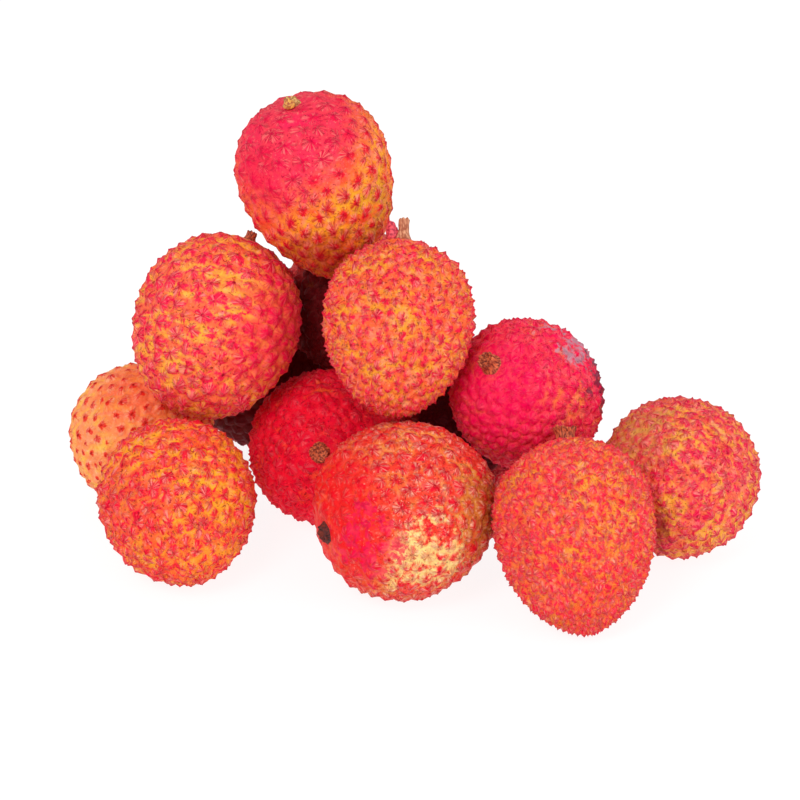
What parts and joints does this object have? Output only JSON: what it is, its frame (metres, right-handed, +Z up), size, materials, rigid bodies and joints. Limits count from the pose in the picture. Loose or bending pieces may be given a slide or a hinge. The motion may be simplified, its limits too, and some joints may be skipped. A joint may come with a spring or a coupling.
{
  "type": "bunch of lychees",
  "caption": "Loose heap of short-stalked lychees, bumpy red and orange fruits with woody stem stubs, resting on each other and on a surface.",
  "frame": {"origin": "centre of the heap's bounding box, on the surface that the heap lies on", "axes": "+Z up, +X to the right along the heap's longest side, -Y towards the front as pictured"},
  "size_m": [0.1502, 0.1136, 0.096],
  "materials": {
    "peel_coral": "bumpy, slightly waxy peel, coral red mottled with orange and yellow",
    "peel_crimson": "bumpy, slightly waxy peel, dark crimson",
    "peel_muted": "bumpy, dull peel, brownish coral with olive yellow valleys",
    "peel_pale": "bumpy, dull peel, pale peach with dark red tips",
    "stem_wood": "rough, dry, broken"
  },
  "bodies": {
    "root": {"lychee_front_right": "peel_coral", "lychee_front_middle": "peel_crimson", "lychee_front_left": "peel_coral", "lychee_far_right": "peel_muted", "lychee_middle": "peel_crimson", "lychee_far_left": "peel_pale", "lychee_back_left": "peel_coral", "lychee_back_right": "peel_crimson", "lychee_upper_right": "peel_crimson", "lychee_upper_left": "peel_coral", "lychee_upper_back": "peel_crimson", "lychee_upper_middle": "peel_coral", "lychee_top": "peel_coral", "stem_front_right": "stem_wood", "stem_front_middle": "stem_wood", "stem_front_left": "stem_wood", "stem_far_right": "stem_wood", "stem_middle": "stem_wood", "stem_far_left": "stem_wood", "stem_back_left": "stem_wood", "stem_back_right": "stem_wood", "stem_upper_right": "stem_wood", "stem_upper_left": "stem_wood", "stem_upper_back": "stem_wood", "stem_upper_middle": "stem_wood", "stem_top": "stem_wood"}
  },
  "joints": []
}
